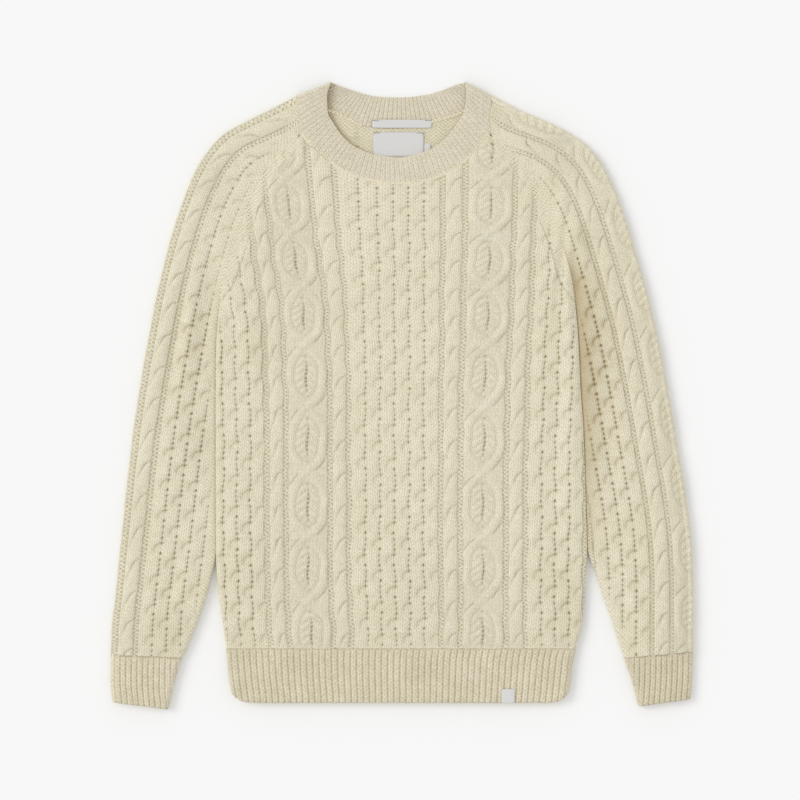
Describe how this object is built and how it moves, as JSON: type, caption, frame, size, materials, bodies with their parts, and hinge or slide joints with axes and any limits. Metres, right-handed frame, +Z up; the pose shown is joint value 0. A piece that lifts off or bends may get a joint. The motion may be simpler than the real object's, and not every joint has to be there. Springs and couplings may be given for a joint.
{
  "type": "aran sweater",
  "caption": "Raglan aran sweater in cream wool laid flat, with cables, a lattice, ribbed neckband, cuffs and hem.",
  "frame": {"origin": "centre of the footprint, on the surface that the sweater lies on", "axes": "+Y from the hem to the collar, +X to the viewer's right with the front up, +Z up out of the front"},
  "size_m": [0.6417, 0.691, 0.0136],
  "materials": {
    "cream_wool": "matte",
    "rib_wool": "matte",
    "label": "satin"
  },
  "bodies": {
    "root": {"front_panel": "cream_wool", "back_panel": "cream_wool", "sleeve_left": "cream_wool", "sleeve_right": "cream_wool", "cuff_left": "rib_wool", "cuff_right": "rib_wool", "hem_front": "rib_wool", "hem_back": "rib_wool", "neckband_front": "rib_wool", "neckband_back": "rib_wool", "neck_label": "label", "neck_strip": "label", "size_tab": "label", "hem_tab": "label"}
  },
  "joints": []
}
